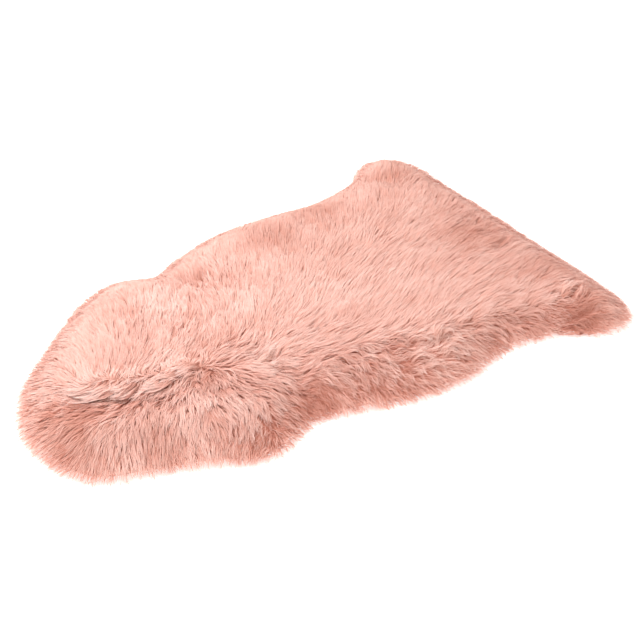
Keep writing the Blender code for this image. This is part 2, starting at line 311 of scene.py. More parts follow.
# Which way the wool lies: it parts along the crest of the neck and falls outward and back.
# Headings are in degrees, anticlockwise from the tail's direction, +X.
COMBING = (
    # region, then x, y and heading of each place
    ("neck tip", (-0.415, 0.080, 112), (-0.440, 0.020, 125), (-0.455, -0.010, 150),
     (-0.465, -0.055, 160)),
    ("far neck", (-0.395, 0.045, 105), (-0.360, 0.140, 95), (-0.360, 0.040, 80)),
    ("far cheek", (-0.335, 0.095, 82), (-0.280, 0.120, 80), (-0.245, 0.180, 76)),
    ("above the crest", (-0.330, 0.030, 62), (-0.285, 0.060, 60)),
    ("parting", (-0.315, 0.010, 36), (-0.285, 0.015, 32), (-0.250, 0.000, 28)),
    ("crown", (-0.200, -0.028, 46), (-0.150, -0.064, 12), (-0.172, -0.100, -75),
     (-0.194, -0.096, -100), (-0.224, -0.086, -118)),
    ("crest", (-0.232, -0.057, -158), (-0.285, -0.045, -155), (-0.325, -0.030, -145),
     (-0.335, -0.006, -140), (-0.375, -0.010, -178), (-0.395, 0.006, 142)),
    ("near neck", (-0.410, -0.030, 156), (-0.435, -0.055, 162), (-0.385, -0.045, 168)),
    ("lobe", (-0.405, -0.080, -172), (-0.350, -0.062, -168), (-0.315, -0.080, -132),
     (-0.275, -0.090, -126), (-0.415, -0.120, -132), (-0.320, -0.130, -122), (-0.350, -0.150, -110),
     (-0.310, -0.180, -98), (-0.260, -0.140, -108), (-0.225, -0.162, -82), (-0.245, -0.205, -126)),
    ("lobe corner", (-0.210, -0.225, -142), (-0.198, -0.200, -125), (-0.155, -0.205, -34),
     (-0.180, -0.240, -85)),
    ("shoulder", (-0.205, 0.075, 57), (-0.175, -0.005, 39)),
    ("far waist", (-0.190, 0.180, 64), (-0.115, 0.175, 72), (-0.125, 0.125, 69),
     (-0.145, 0.050, 59)),
    ("far flank", (-0.090, 0.095, 70), (-0.065, 0.165, 69), (-0.010, 0.165, 60)),
    ("back", (-0.065, 0.015, 53), (-0.030, 0.075, 57), (-0.078, -0.045, 34), (-0.035, -0.015, 41)),
    ("middle", (0.005, 0.045, 42), (0.045, 0.100, 52), (0.055, 0.010, 37)),
    ("far belly", (0.120, 0.200, 51), (0.135, 0.090, 38), (0.150, 0.042, 25),
     (0.205, -0.060, 27)),
    ("far hind leg", (0.200, 0.175, 55), (0.205, 0.100, 40), (0.290, 0.160, 51),
     (0.330, 0.250, 50)),
    ("far rump", (0.415, 0.250, 48), (0.290, 0.088, 24), (0.372, 0.088, 27),
     (0.398, 0.150, 28)),
    ("rump", (0.240, 0.030, 14), (0.330, 0.022, 9), (0.395, 0.025, 20), (0.388, -0.075, 4),
     (0.305, -0.115, 2), (0.330, -0.165, 10)),
    ("near hind leg", (0.400, -0.155, 13), (0.395, -0.235, -10),
     (0.350, -0.215, -18), (0.297, -0.205, -4), (0.345, -0.260, -8), (0.420, -0.290, -22),
     (0.375, -0.302, -45), (0.295, -0.245, -46), (0.245, -0.250, -66)),
    ("near loin", (0.215, -0.165, 9), (0.215, -0.208, -7), (0.180, -0.130, 34),
     (0.110, -0.122, 24), (0.062, -0.065, 30)),
    ("flank crest", (-0.015, -0.060, 16), (-0.060, -0.075, 1)),
    ("shoulder ridge", (-0.115, -0.085, 18), (-0.142, -0.080, -8), (-0.155, -0.100, -38),
     (-0.060, -0.125, -28)),
    ("flank crest", (0.015, -0.120, 0), (0.055, -0.152, -12), (0.120, -0.175, 14)),
    ("near waist", (-0.092, -0.138, -46), (-0.112, -0.182, -66), (-0.070, -0.190, -70)),
    ("near flank", (-0.006, -0.200, -86), (0.033, -0.188, -78), (-0.045, -0.226, -76),
     (0.030, -0.245, -50)),
    ("near belly", (0.070, -0.203, -40), (0.112, -0.222, -28), (0.095, -0.245, -50),
     (0.160, -0.230, -54)),
)


# -------- small maths
def between(pair, ruffle):
    """A size for wool that is ruffled so much, from its sleek and its ruffled value."""
    return pair[0] + (pair[1] - pair[0]) * ruffle


def varied(random, count, spread, least, most):
    """Factors about 1 with that spread, from the least to the most."""
    return np.clip(1.0 + spread * random.standard_normal(count), least, most)


def unit(vectors):
    return vectors / np.maximum(np.linalg.norm(vectors, axis=-1, keepdims=True), 1e-9)


def heading_of(x, y):
    """Unit directions over the floor, from their parts along X and Y."""
    size = np.maximum(np.hypot(x, y), 1e-6)
    return x / size, y / size


def turned(dir_x, dir_y, angle):
    return (dir_x * np.cos(angle) - dir_y * np.sin(angle),
            dir_x * np.sin(angle) + dir_y * np.cos(angle))


def sideways(path):
    """Unit vectors across each path, level with the floor."""
    along = unit(np.gradient(path, axis=1))
    return np.stack([-along[:, :, 1], along[:, :, 0]], axis=2)


# -------- closed lines
def ring_at(node, z):
    """The corners of a CAD solid at one height, in order round the origin."""
    co = np.array([vert.co for vert in node.data.vertices])
    points = np.unique(np.round(co[np.abs(co[:, 2] - z) < 1e-5, :2], 6), axis=0)
    return points[np.argsort(np.arctan2(points[:, 1], points[:, 0]))]


def signed_area(line):
    """Area in a closed line, positive where it runs anticlockwise."""
    x, y = line.T
    return 0.5 * (np.dot(x, np.roll(y, -1)) - np.dot(y, np.roll(x, -1)))


def away_from_segment(x, y, start, end):
    """Square of each point's distance to a straight segment."""
    run, rise = end[0] - start[0], end[1] - start[1]
    share = ((x - start[0]) * run + (y - start[1]) * rise) / (run * run + rise * rise)
    share = np.clip(share, 0.0, 1.0)
    return (x - start[0] - share * run) ** 2 + (y - start[1] - share * rise) ** 2


def signed_distance(line, x, y):
    """Distance to a closed line, positive inside it."""
    least = np.full(x.shape, np.inf)
    inside = np.zeros(x.shape, bool)
    for a, b in zip(line, np.roll(line, -1, axis=0)):
        least = np.minimum(least, away_from_segment(x, y, a, b))
        if a[1] != b[1]:
            crossing = a[0] + (b[0] - a[0]) * (y - a[1]) / (b[1] - a[1])
            inside ^= ((a[1] > y) != (b[1] > y)) & (x < crossing)
    return np.where(inside, 1.0, -1.0) * np.sqrt(least)


# -------- fields over the floor
class Grid:
    """Fields over the floor on one regular grid, read anywhere by bilinear interpolation."""

    def __init__(self):
        self.low = np.array([-GRID_HALF[0], -GRID_HALF[1]])
        self.count = [int(round(2.0 * half / GRID_PITCH)) + 1 for half in GRID_HALF]
        along = self.low[0] + GRID_PITCH * np.arange(self.count[0])
        across = self.low[1] + GRID_PITCH * np.arange(self.count[1])
        self.x, self.y = np.meshgrid(along, across, indexing="ij")

    def read(self, field, x, y):
        """The field's value at each point, or past the grid the value at its edge."""
        last = 1.001        # a little over 1, so that the last cell is still inside
        i = np.clip((x - self.low[0]) / GRID_PITCH, 0.0, self.count[0] - last)
        j = np.clip((y - self.low[1]) / GRID_PITCH, 0.0, self.count[1] - last)
        i0, j0 = i.astype(int), j.astype(int)
        u, v = i - i0, j - j0
        return ((1 - u) * (1 - v) * field[i0, j0] + u * (1 - v) * field[i0 + 1, j0]
                + (1 - u) * v * field[i0, j0 + 1] + u * v * field[i0 + 1, j0 + 1])

    def blurred(self, field, spread):
        """The field after a Gaussian blur of that spread, in metres."""
        fx = np.fft.fftfreq(self.count[0], GRID_PITCH)[:, None]
        fy = np.fft.rfftfreq(self.count[1], GRID_PITCH)[None, :]
        pass_through = np.exp(-2.0 * (math.pi * spread) ** 2 * (fx ** 2 + fy ** 2))
        return np.fft.irfft2(np.fft.rfft2(field) * pass_through, s=self.count)

    def noise(self, random, size):
        """Smooth noise with bumps of about that size and a standard deviation of 1."""
        field = self.blurred(random.standard_normal(self.count), 0.35 * size)
        return (field - field.mean()) / field.std()

    def spots(self, table, start):
        """A field from a table of round soft spots, on top of a starting value."""
        field = np.full(self.x.shape, start)
        for _place, x, y, radius, amount in table:
            field += amount * np.exp(-((self.x - x) ** 2 + (self.y - y) ** 2) / radius ** 2)
        return field


def solid_top(node, grid):
    """Height of the CAD solid's top at each point of the grid, 0 where it isn't."""
    tree = BVHTree.FromPolygons([vert.co for vert in node.data.vertices],
                                [face.vertices for face in node.data.polygons])
    down = Vector((0.0, 0.0, -1.0))
    heights = np.zeros(grid.x.size)
    for index, (x, y) in enumerate(zip(grid.x.flat, grid.y.flat)):
        hit = tree.ray_cast(Vector((x, y, 1.0)), down)[0]
        if hit is not None:
            heights[index] = hit.z
    return heights.reshape(grid.x.shape)


def creases(grid):
    """The narrow troughs and ridges, one running on into the next."""
    troughs, ridges = np.zeros(grid.x.shape), np.zeros(grid.x.shape)
    for _place, half_width, rise, *line in CREASES:
        for start, end in zip(line, line[1:]):
            away = away_from_segment(grid.x, grid.y, start, end)
            form = rise * np.exp(-away / half_width ** 2)
            troughs = np.minimum(troughs, form)
            ridges = np.maximum(ridges, form)
    return troughs + ridges


class Wool:
    """The wool's surface and its lie, as fields on a grid."""

    def __init__(self, node):
        self.grid = grid = Grid()
        self.skin_line = ring_at(node, SKIN_TOP)
        self.rim_line = ring_at(node, RIM_TOP)
        self.inward = signed_distance(self.rim_line, grid.x, grid.y)
        self.reach = grid.spots(REACHES, WOOL_REACH)
        self.top = self.surface(node)
        self.slope_x, self.slope_y = np.gradient(self.top, GRID_PITCH)
        steep = np.sqrt(1.0 + self.slope_x ** 2 + self.slope_y ** 2)
        self.steep = np.clip(grid.blurred(steep, TOP_BLUR), 1.0, STEEPEST)
        self.lay_x, self.lay_y = self.combed()
        agreed = np.hypot(*(grid.blurred(part, UNREST_BLUR) for part in (self.lay_x, self.lay_y)))
        self.unrest = np.clip(2.0 * (1.0 - agreed), 0.0, 1.0)
        self.ruffle = np.clip(grid.spots(RUFFLED, SLEEKEST), 0.0, 1.0)
        # The wool's tone holds painted light and shade: the table's, and the deeper colour in the
        # hollows.
        self.tone = grid.spots(TONES_AND_PAINTED_LIGHT, 0.0) + self.painted_relief_shading()

    def surface(self, node):
        """Height of the wool: the solid's top, a skirt past its rim, and the creases."""
        past_rim = np.clip(-self.inward / self.reach, 0.0, 1.0)
        skirt = RIM_TOP * (1.0 - past_rim) ** SKIRT_POWER
        top = np.where(self.inward > 0.0, solid_top(node, self.grid), skirt)
        return np.maximum(self.grid.blurred(top, TOP_BLUR) + creases(self.grid), 0.0)

    def painted_relief_shading(self):
        """Painted shade and light: deeper colour in the hollows, and a little paler on what stands up.
        """
        height = self.top - self.grid.blurred(self.top, RELIEF_SIZE)
        height *= np.clip(self.inward / RELIEF_BAND, 0.0, 1.0)
        return HOLLOW_PAINTED_SHADE * np.clip(height / RELIEF_FULL, -1.0, 0.5)

    def combed(self):
        """Unit directions of the wool's lie: the combing table, turned outward at the rim."""
        grid = self.grid
        lay_x, lay_y = np.zeros(grid.x.shape), np.zeros(grid.x.shape)
        for x, y, heading in (place for _region, *places in COMBING for place in places):
            away = (grid.x - x) ** 2 + (grid.y - y) ** 2
            weight = 1.0 / (away + COMBING_REACH ** 2) ** 2
            lay_x += weight * math.cos(math.radians(heading))
            lay_y += weight * math.sin(math.radians(heading))
        lay_x, lay_y = heading_of(lay_x, lay_y)
        out_x, out_y = np.gradient(-grid.blurred(self.inward, OUTWARD_BLUR), GRID_PITCH)
        share = OUTWARD_SHARE * np.clip(1.0 - self.inward / OUTWARD_BAND, 0.0, OUTWARD_MOST)
        lay_x = grid.blurred(lay_x + share * out_x, LIE_BLUR)
        lay_y = grid.blurred(lay_y + share * out_y, LIE_BLUR)
        return heading_of(lay_x, lay_y)

    def over(self, field, plan):
        """A field's value over each point of a plan."""
        return self.grid.read(field, plan[..., 0], plan[..., 1])

    def lay(self, x, y):
        """Unit direction of the wool's lie at each point."""
        return heading_of(self.grid.read(self.lay_x, x, y), self.grid.read(self.lay_y, x, y))

    def up(self, points):
        """The direction out of the wool's surface at each point."""
        tilt_x, tilt_y = self.over(self.slope_x, points), self.over(self.slope_y, points)
        return unit(np.stack([-tilt_x, -tilt_y, np.ones_like(tilt_x)], axis=-1))

    def room(self, x, y):
        """How long a lock at each place may be, so that its tip stays on the rug's own area."""
        return self.grid.read(self.inward + self.reach, x, y) / (1.0 - BEHIND)


# -------- strands
# Strands have points, the direction out of the wool at each, and their own tones, widths
# and spreads of the turn about their own line.
Strands = namedtuple("Strands", "points ups tones widths rolls")
Locks = namedtuple("Locks", "x y turn bend length path rise phase tone")
Wisps = namedtuple("Wisps", "path rise tone ruffle unrest")
STATIONS = np.array([0.0, 0.24, 0.44, 0.63, 0.82, 1.0])    # along a strand, root to tip
WIDTHS = np.array([0.80, 1.0, 1.0, 0.9, 0.50])             # of the ribbon at all but the tip
SPANS = len(WIDTHS) - 1


def scattered(wool, random, pitch):
    """Places on a jittered triangular grid, as far out as the wool still springs."""
    row_pitch = pitch * math.sqrt(0.75)
    rows = int(GRID_HALF[1] / row_pitch)
    columns = int(GRID_HALF[0] / pitch)
    row, column = np.meshgrid(np.arange(-rows, rows + 1), np.arange(-columns, columns + 1))
    x = (column + 0.5 * (row % 2)).ravel() * pitch
    y = row.ravel() * row_pitch
    x = x + random.uniform(-JITTER, JITTER, x.size) * pitch
    y = y + random.uniform(-JITTER, JITTER, y.size) * pitch
    keep = wool.grid.read(wool.inward, x, y) > -ROOTS_PAST_RIM
    return x[keep], y[keep]


def lie_paths(wool, x, y, length, turn, bend, behind):
    """Plan of each line from root to tip: straight up to its place, then along the lie.

    Behind is the share of the length that lies before the place, under the wool in front.
    """
    dir_x, dir_y = turned(*wool.lay(x, y), turn - bend)
    x = x - behind * length * dir_x
    y = y - behind * length * dir_y
    path = [(x, y)]
    for station, step in zip(STATIONS, np.diff(STATIONS)):
        if station >= behind - AT_PLACE:
            angle = turn + bend * (2.0 * station - 1.0)
            dir_x, dir_y = turned(*wool.lay(x, y), angle)
        fall = (wool.grid.read(wool.slope_x, x, y) * dir_x
                + wool.grid.read(wool.slope_y, x, y) * dir_y)
        run = step * length / np.sqrt(1.0 + fall ** 2)
        x, y = x + run * dir_x, y + run * dir_y
        path.append((x, y))
    return np.array(path).transpose(2, 0, 1)        # line, station, (x, y)


def nearest(x, y, to_x, to_y):
    """For each place, the index of the nearest of the other places."""
    tree = KDTree(len(to_x))
    for index, place in enumerate(zip(to_x, to_y)):
        tree.insert((*place, 0.0), index)
    tree.balance()
    return np.array([tree.find((*place, 0.0))[1] for place in zip(x, y)])


def raised(plan, height):
    """Points in space from their plan and their height over the floor."""
    return np.concatenate([plan, height[:, :, None]], axis=2)


def grow_locks(wool, random):
    """The wool on the pelt: strands in wisps, gathered into locks that follow its lie."""
    drift = wool.grid.noise(random, DRIFT[0])
    swell = wool.grid.noise(random, SWELL[0])
    patches = wool.grid.noise(random, PATCHES[0])
    locks = lay_locks(wool, random, drift)
    wisps = lay_wisps(wool, random, locks, swell, patches)
    return lay_strands(wool, random, wisps)


def lay_locks(wool, random, drift):
    """The locks: one bent line each, of its own length, height and tone."""
    grid, normal = wool.grid, random.standard_normal
    x, y = scattered(wool, random, LOCK_PITCH)
    count = x.size
    ruffle = grid.read(wool.ruffle, x, y)
    unrest = grid.read(wool.unrest, x, y)
    turn = np.radians(between(LOCK_TURN, ruffle) + PARTED_TURN * unrest)
    turn = turn * (normal(count) + DRIFT[1] * grid.read(drift, x, y))
    bend = np.radians(between(LOCK_BEND, ruffle)) * normal(count)
    length = between(LOCK_LENGTH, ruffle) * varied(random, count, *LOCK_VARIES)
    length = np.minimum(length * (1.0 - PARTED_SHORTER * unrest), wool.room(x, y))
    path = lie_paths(wool, x, y, length, turn, bend, BEHIND)
    rise = between(LOCK_RISE, ruffle) * normal(count)
    phase = random.uniform(0.0, math.tau, count)
    tone = between(TONE_SPREAD, ruffle) * normal(count)
    return Locks(x, y, turn, bend, length, path, rise, phase, tone)


def lay_wisps(wool, random, locks, swell, patches):
    """The wisps: each follows its lock, closes up with it, and waves about its own line."""
    grid, normal = wool.grid, random.standard_normal
    x, y = scattered(wool, random, WISP_PITCH)
    count = x.size
    lock = nearest(x, y, locks.x, locks.y)
    ruffle = grid.read(wool.ruffle, x, y)
    unrest = grid.read(wool.unrest, x, y)
    spread = np.radians(between(WISP_TURN, ruffle) + 0.5 * PARTED_TURN * unrest)
    turn = locks.turn[lock] + spread * normal(count)
    bend = locks.bend[lock] + np.radians(between(WISP_BEND, ruffle)) * normal(count)
    length = locks.length[lock] * varied(random, count, *WISP_VARIES)
    length = np.minimum(length, wool.room(x, y) * random.uniform(0.98, 1.2, count))
    path = lie_paths(wool, x, y, length, turn, bend, BEHIND)
    offset = path - locks.path[lock]
    gather = between(LOCK_GATHER, ruffle)[:, None] * STATIONS ** 1.2
    path = path - gather[:, :, None] * offset
    phase = locks.phase[lock] + 0.8 * normal(count)
    wavy = np.sqrt(ruffle)
    swing = between(SWING, wavy) * varied(random, count, *SWING_VARIES)
    waves = (length / between(WAVE_LENGTH, wavy))[:, None] * STATIONS
    wave = np.sin(phase[:, None] + math.tau * waves)
    path = path + (swing[:, None] * wave * STATIONS)[:, :, None] * sideways(path)
    from_axis = np.linalg.norm(offset[:, 1], axis=1) / (0.5 * LOCK_PITCH)
    rise = (locks.rise[lock] + between(WISP_RISE, ruffle) * normal(count)
            + SWELL[1] * grid.read(swell, x, y)
            - between(LOCK_DIP, ruffle) * np.clip(from_axis, 0.0, 1.4) ** 2)
    # A wisp's tone: its own spread and patches, painted light where the wool parts, and the wool's tone
    # with its painted light and shade.
    tone = (locks.tone[lock] + between(TONE_SPREAD, ruffle) * normal(count)
            + PATCHES[1] * grid.read(patches, x, y) + PARTED_PAINTED_LIGHT * unrest
            + grid.read(wool.tone, x, y))
    return Wisps(path, rise, tone, ruffle, unrest)


def spread_strands(random, paths):
    """Plan of each strand: round its wisp's line at the root, nearer to it at the tip."""
    count = len(paths)
    angle = random.uniform(0.0, math.tau, count)
    away = STRAND_SPREAD * np.sqrt(random.random(count))
    spread = np.stack([away * np.cos(angle), away * np.sin(angle)], axis=1)
    gather = 1.0 - WISP_GATHER * STATIONS
    stray = STRAND_STRAY * random.standard_normal((count, 2))
    plan = (paths + spread[:, None] * gather[:, None]
            + stray[:, None] * (STATIONS[:, None] ** 2))
    own_length = random.uniform(0.80, 1.0, count)
    return plan[:, :1] + (plan - plan[:, :1]) * own_length[:, None, None]


def lay_strands(wool, random, wisps):
    """The strands of all the wisps, sunk at their roots and layered one over another."""
    wisp = np.repeat(np.arange(len(wisps.rise)), STRANDS_PER_WISP)
    count = wisp.size
    ruffle, rise = wisps.ruffle[wisp], wisps.rise[wisp]
    plan = spread_strands(random, wisps.path[wisp])
    surface, steep = wool.over(wool.top, plan), wool.over(wool.steep, plan)
    depth = between(ROOT_DEPTH, ruffle) * (1.0 - PARTED_SHALLOWER * wisps.unrest[wisp])
    depth = depth[:, None] * (1.0 - STATIONS) ** 2.6
    layers = between(LAYERS, ruffle)
    layer = layers * random.random(count)
    arch = STRAND_ARCH * np.sin(math.pi * np.clip((STATIONS - 0.3) / 0.7, 0.0, 1.0))
    lift = (rise - layer)[:, None] * np.minimum(1.0, 2.0 * STATIONS) + arch
    height = (surface - np.minimum(depth * steep, 0.7 * surface)
              + lift * steep * np.clip(surface / THIN_WOOL, 0.25, 1.0))
    lowest = FLOOR_GAP + FLOOR_LAYER * random.random((count, 1))
    points = raised(plan, np.maximum(height, lowest))
    # Painted shade: a strand lower in the layers, or in a lower wisp, is deeper in colour, and one in a
    # raised wisp paler.
    painted_shade_depth = layer / layers - 0.5 - rise / BURIED_RISE
    tones = (0.5 + wisps.tone[wisp] + between(TONE_SPREAD, ruffle) * random.standard_normal(count)
             - between(BURIED_PAINTED_SHADE, ruffle) * painted_shade_depth)
    widths = STRAND_WIDTH * random.uniform(0.65, 1.25, count)
    return Strands(points, wool.up(points), tones, widths, between(ROLL, ruffle))


def grow_falling(wool, random):
    """The large locks that fall over from the crest, the palest on the pelt, partly as painted light.
    """
    return joined([falling_lock(wool, random, *row[1:]) for row in FALLING])


def bent(start, bend, end, along):
    """One coordinate of a curve from start to end that bends towards a third point."""
    return start * (1.0 - along) ** 2 + 2.0 * bend * along * (1.0 - along) + end * along ** 2


def falling_lock(wool, random, x0, y0, x1, y1, x2, y2, width, rise):
    """One such lock: loose wisps along a bent line, closer together at its tip."""
    normal = random.standard_normal
    wisps = int(round(width / FALLING_PITCH))
    along = np.linspace(0.0, 1.0, 21)[None, :]
    spine = np.stack([bent(x0, x1, x2, along), bent(y0, y1, y2, along)], axis=2)
    beside = sideways(spine)
    place = random.uniform(-0.5, 0.5, wisps)
    start = random.uniform(0.0, 0.40, wisps)
    reach = random.uniform(0.72, 1.0, wisps)
    sway = FALLING_SWAY * normal(wisps)
    phase = random.random() + 0.15 * normal(wisps)
    wisp = np.repeat(np.arange(wisps), FALLING_STRANDS)
    count = wisp.size
    share = start[wisp, None] + (reach - start)[wisp, None] * STATIONS
    wave = np.sin(math.tau * (phase[wisp, None] + 1.8 * share))
    aside = (width * place[wisp, None] * (1.0 - 0.5 * share ** 1.5)
             + sway[wisp, None] * share ** 2 + FALLING_WAVE * wave)
    loose, loose_tip = (spread * normal((count, 1)) for spread in FALLING_LOOSE)
    aside += loose * (1.0 - 0.5 * STATIONS) + loose_tip * STATIONS
    plan = np.empty((count, len(STATIONS), 2))
    for axis in (0, 1):
        middle = np.interp(share, along[0], spine[0, :, axis])
        plan[:, :, axis] = middle + aside * np.interp(share, along[0], beside[0, :, axis])
    surface = wool.over(wool.top, plan)
    # A lock keeps part of the height that it falls from, and so bridges the crease.
    held = 0.45 * surface + 0.55 * np.maximum.accumulate(surface, axis=1)
    profile = np.interp(STATIONS, *zip(*FALLING_PROFILE))
    height = held + rise * profile * random.uniform(0.1, 1.0, wisps)[wisp, None]
    height -= FALLING_LAYER * random.random((count, 1))
    points = raised(plan, height)
    # Their shading normals lean towards the key light, so that they catch more of it.
    ups = np.broadcast_to(unit(np.array([-0.10, 0.15, 1.0])), points.shape)
    tones = FALLING_TONE_AND_LIGHT + 0.10 * normal(wisps)[wisp] + 0.10 * normal(count)
    widths = STRAND_WIDTH * random.uniform(0.65, 1.2, count)
    return Strands(points, ups, tones, widths, np.full(count, 20.0))


def grow_strays(wool, random):
    """Single fine strands that stand out of the wool at the rim, at all heights."""
    grid, normal = wool.grid, random.standard_normal
    tried = 14 * STRAYS         # as few of them fall into the band
    x = random.uniform(-GRID_HALF[0], GRID_HALF[0], tried)
    y = random.uniform(-GRID_HALF[1], GRID_HALF[1], tried)
    inward = grid.read(wool.inward, x, y)
    keep = np.flatnonzero((inward > STRAY_BAND[0]) & (inward < STRAY_BAND[1]))[:STRAYS]
    x, y, inward = x[keep], y[keep], inward[keep]
    count = x.size
    turn = np.radians(15.0) * normal(count)
    bend = np.radians(16.0) * normal(count)
    length = inward + grid.read(wool.reach, x, y) + STRAY_PAST
    length = np.clip(length, *STRAY_LENGTH) * random.uniform(0.80, 1.08, count)
    path = lie_paths(wool, x, y, length, turn, bend, 0.0)
    lift = random.uniform(-0.6, 1.0, count)[:, None] * STRAY_LIFT * STATIONS
    lowest = FLOOR_GAP + STRAY_LAYER * random.random((count, 1))
    points = raised(path, np.maximum(wool.over(wool.top, path) + lift, lowest))
    tones = STRAY_TONE + 0.12 * normal(count) + 0.8 * grid.read(wool.tone, x, y)
    widths = 0.7 * STRAND_WIDTH * random.uniform(0.65, 1.2, count)
    return Strands(points, wool.up(points), tones, widths, np.full(count, 25.0))


def joined(groups):
    """One group of strands from several."""
    return Strands(*(np.concatenate(parts) for parts in zip(*groups)))


# -------- ribbons
def laced(left, right, tip):
    """Values for a ribbon's corners: left and right in turn from the root, then the tip."""
    pairs = np.stack([left, right], axis=2).reshape(len(left), -1, left.shape[2])
    return np.concatenate([pairs, tip[:, None]], axis=1)


def ribbons(random, strands):
    """Corners of a tapered ribbon along each strand, and soft normals for them."""
    points, ups = strands.points, strands.ups
    along = unit(np.gradient(points, axis=1))
    side = unit(np.cross(along, ups))
    face = np.cross(side, along)
    roll = np.radians(strands.rolls * random.standard_normal(len(points)))[:, None, None]
    side = side * np.cos(roll) + face * np.sin(roll)
    width = strands.widths[:, None, None] * WIDTHS[:, None]
    to_edge = 0.5 * width * side[:, :-1]
    corners = laced(points[:, :-1] - to_edge, points[:, :-1] + to_edge, points[:, -1])
    corners[:, :, 2] = np.maximum(corners[:, :, 2], LOWEST_CORNER)
    soft = unit((1.0 - SOFTNESS) * np.cross(side, along) + SOFTNESS * ups)
    return corners, laced(soft[:, :-1], soft[:, :-1], soft[:, -1])


def strand_map(tones):
    """UV of the ribbons' corners: tone across, and root to tip along."""
    middle, half_width = 0.04 + 0.92 * np.clip(tones, 0.0, 1.0), 0.004
    along = np.broadcast_to(0.02 + 0.96 * STATIONS, (len(tones), len(STATIONS)))
    left, right, tip = (
        np.stack(np.broadcast_arrays(across[:, None], along), axis=2)
        for across in (middle - half_width, middle + half_width, middle))
    return laced(left[:, :-1], right[:, :-1], tip[:, -1])


def ribbon_mesh(name, corners, normals, tones):
    """One mesh of many ribbons, each of quads and one triangle at its tip."""
    count, per_strand, _ = corners.shape
    quads = np.array([[2 * k, 2 * k + 1, 2 * k + 3, 2 * k + 2] for k in range(SPANS)]).ravel()
    pattern = np.concatenate([quads, [2 * SPANS, 2 * SPANS + 1, 2 * SPANS + 2]])
    loops = (np.arange(count)[:, None] * per_strand + pattern).ravel()
    sizes = np.tile(np.array([4] * SPANS + [3]), count)
    starts = np.concatenate([[0], np.cumsum(sizes)[:-1]])
    mesh = bpy.data.meshes.new(name)
    mesh.vertices.add(count * per_strand)
    mesh.vertices.foreach_set("co", corners.astype(np.float32).ravel())
    mesh.loops.add(loops.size)
    mesh.loops.foreach_set("vertex_index", loops.astype(np.int32))
    mesh.polygons.add(sizes.size)
    mesh.polygons.foreach_set("loop_start", starts.astype(np.int32))
    per_loop = strand_map(tones).reshape(-1, 2)[loops].astype(np.float32).ravel()
    for map_name in ("strand", "OFBake"):
        mesh.uv_layers.new(name=map_name).uv.foreach_set("vector", per_loop)
    mesh.update(calc_edges=True)
    mesh.shade_smooth()
    mesh.normals_split_custom_set_from_vertices(normals.reshape(-1, 3).tolist())
    return mesh


# -------- materials
def principled(name):
    """A new material, its node tree and its shader."""
    material = bpy.data.materials.new(name)
    material.use_nodes = True
    return material, material.node_tree, material.node_tree.nodes["Principled BSDF"]


def feed(tree, node, sockets):
    """Gives each named socket a fixed value, or a link from another node's output."""
    for name, value in sockets.items():
        if isinstance(value, bpy.types.NodeSocket):
            tree.links.new(value, node.inputs[name])
        else:
            node.inputs[name].default_value = value


def add_node(tree, kind, sockets):
    node = tree.nodes.new("ShaderNode" + kind)
    feed(tree, node, sockets)
    return node


def ramp(tree, place, stops):
    """The colour at that place on a ramp of (place, colour) stops."""
    node = add_node(tree, "ValToRGB", {"Fac": place})
    elements = node.color_ramp.elements
    for index, (position, colour) in enumerate(stops):
        element = elements[index] if index < 2 else elements.new(position)
        element.position = position
        element.color = (*colour, 1.0)
    return node.outputs["Color"]


def noise(tree, scale, detail, place=None):
    """A cloudy noise, over the piece's bounding box unless a place is fed."""
    node = add_node(tree, "TexNoise", {"Scale": scale, "Detail": detail})
    if place is not None:
        feed(tree, node, {"Vector": place})
    return node.outputs["Fac"]


def wool_material():
    """Wool: deeper colour at the root, paler at the tip, partly as painted shade deep among the
    strands; each strand with its own tone, which carries painted light and shade too.
    """
    material, tree, shader = principled("long_wool")
    uv = tree.nodes.new("ShaderNodeUVMap")
    uv.uv_map = "strand"
    parts = add_node(tree, "SeparateXYZ", {"Vector": uv.outputs["UV"]})
    # Deeper and redder towards the root: partly the wool's own colour, partly painted shade for the
    # depths among the strands.
    along = ramp(tree, parts.outputs["Y"], (
        (0.0, (0.52, 0.20, 0.14)), (0.40, (0.84, 0.50, 0.42)), (1.0, (0.92, 0.715, 0.66))))
    # Low tones are deeper and redder, as wool in shade looks, and carry painted shade as well as the
    # strands' own spread.
    tone = ramp(tree, parts.outputs["X"], (
        (0.0, (0.78, 0.59, 0.53)), (0.5, (0.96, 0.93, 0.92)), (1.0, (1.03, 1.125, 1.155))))
    blend = tree.nodes.new("ShaderNodeMix")
    blend.data_type = "RGBA"
    blend.blend_type = "MULTIPLY"
    feed(tree, blend, {"Factor": 1.0, "A": along, "B": tone})
    colour = blend.outputs["Result"]
    feed(tree, shader, {
        "Base Color": colour, "Roughness": 0.62, "Specular IOR Level": 0.12,
        "Sheen Weight": 0.15, "Sheen Roughness": 0.45, "Sheen Tint": (1.0, 0.72, 0.64, 1.0)})
    through = add_node(tree, "BsdfTranslucent", {"Color": colour})
    mix = add_node(tree, "MixShader", {
        "Fac": 0.24, 1: shader.outputs["BSDF"], 2: through.outputs["BSDF"]})
    feed(tree, tree.nodes["Material Output"], {"Surface": mix.outputs["Shader"]})
    return material


def underwool_painted_shade_material():
    """The dense wool between the strands, close to the skin, dark as painted shade: the shade that lies
    deep among the strands.
    """
    material, tree, shader = principled("underwool")
    cloud = noise(tree, 260.0, 3.0)
    colour = ramp(tree, cloud, ((0.3, (0.50, 0.20, 0.14)), (0.7, (0.66, 0.31, 0.24))))
    feed(tree, shader, {"Base Color": colour, "Roughness": 0.9})
    return material


